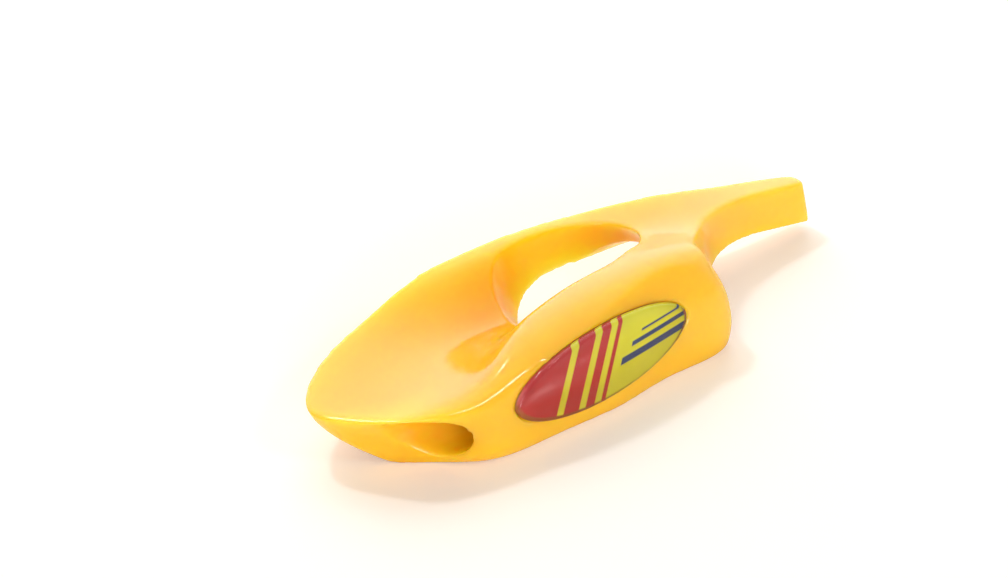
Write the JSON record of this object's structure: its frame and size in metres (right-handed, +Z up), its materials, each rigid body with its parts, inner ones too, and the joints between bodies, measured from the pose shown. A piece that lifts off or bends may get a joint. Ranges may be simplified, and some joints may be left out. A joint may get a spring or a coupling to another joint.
{
  "type": "pencil grip",
  "caption": "Yellow moulded pen grip with a finger ring, a fingertip spoon, a flat tail and a domed oval label on its flank.",
  "frame": {"origin": "on the axis of the pen bore, about the middle of the flank that carries the label", "axes": "+X along the bore from the nose towards the tail, the way the pen is drawn out; +Y from the label side towards the finger ring; +Z up from the surface that the grip lies on"},
  "size_m": [0.0914, 0.0296, 0.0158],
  "materials": {
    "yellow_plastic": "gloss",
    "printed_film": "print",
    "clear_resin": "clear gloss"
  },
  "bodies": {
    "root": {"grip_body": "yellow_plastic", "label_film": "printed_film", "label_dome": "clear_resin"}
  },
  "joints": []
}
